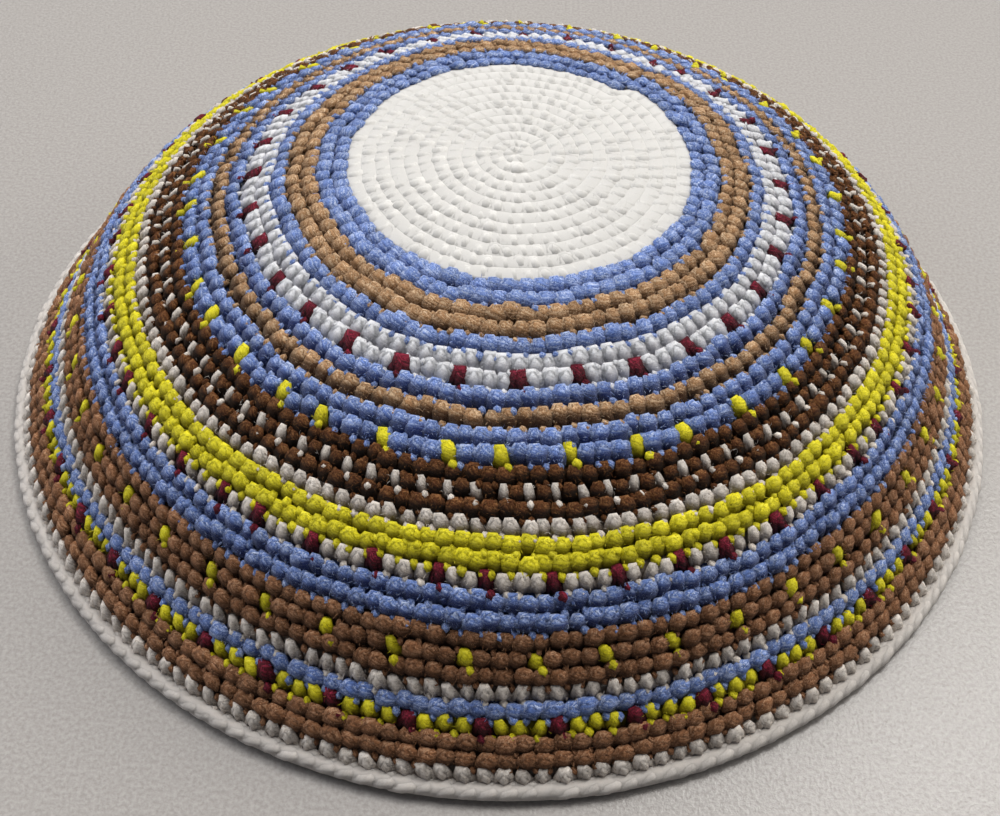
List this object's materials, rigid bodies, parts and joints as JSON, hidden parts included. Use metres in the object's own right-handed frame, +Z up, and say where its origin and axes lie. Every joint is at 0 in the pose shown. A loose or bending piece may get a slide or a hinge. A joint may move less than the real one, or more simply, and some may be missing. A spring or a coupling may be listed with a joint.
{
  "type": "kippah skullcap",
  "caption": "Crocheted kippah skullcap: a shallow round dome in rings of coloured cotton yarn, with a white crown disc, small contrast marks and a white corded rim.",
  "frame": {"origin": "middle of the rim, on the surface that the cap rests on", "axes": "+Z up through the crown, -Y towards the front of the picture, +X to its right"},
  "size_m": [0.1404, 0.1404, 0.037],
  "materials": {
    "white_cotton": "plied cotton yarn in single crochet",
    "blue_cotton": "plied cotton yarn in single crochet",
    "tan_cotton": "plied cotton yarn in single crochet",
    "dark_brown_cotton": "plied cotton yarn in single crochet",
    "brown_cotton": "plied cotton yarn in single crochet",
    "yellow_cotton": "plied cotton yarn in single crochet",
    "grey_white_cotton": "plied cotton yarn, slightly grey, in single crochet and slip stitch",
    "burgundy_cotton": "plied cotton yarn in single crochet"
  },
  "bodies": {
    "root": {"crown_disc": "white_cotton", "band_01_blue": "blue_cotton", "band_02_tan": "tan_cotton", "band_03_blue": "blue_cotton", "band_04_white": "white_cotton", "band_05_blue": "blue_cotton", "band_06_tan": "tan_cotton", "band_07_blue": "blue_cotton", "band_08_dark_brown": "dark_brown_cotton", "band_09_white": "white_cotton", "band_10_yellow": "yellow_cotton", "band_11_white": "white_cotton", "band_12_blue": "blue_cotton", "band_13_brown": "brown_cotton", "band_14_white": "grey_white_cotton", "band_15_blue": "blue_cotton", "band_16_yellow": "yellow_cotton", "band_17_brown": "brown_cotton", "band_18_white": "grey_white_cotton", "edge_cord": "grey_white_cotton"}
  },
  "joints": []
}
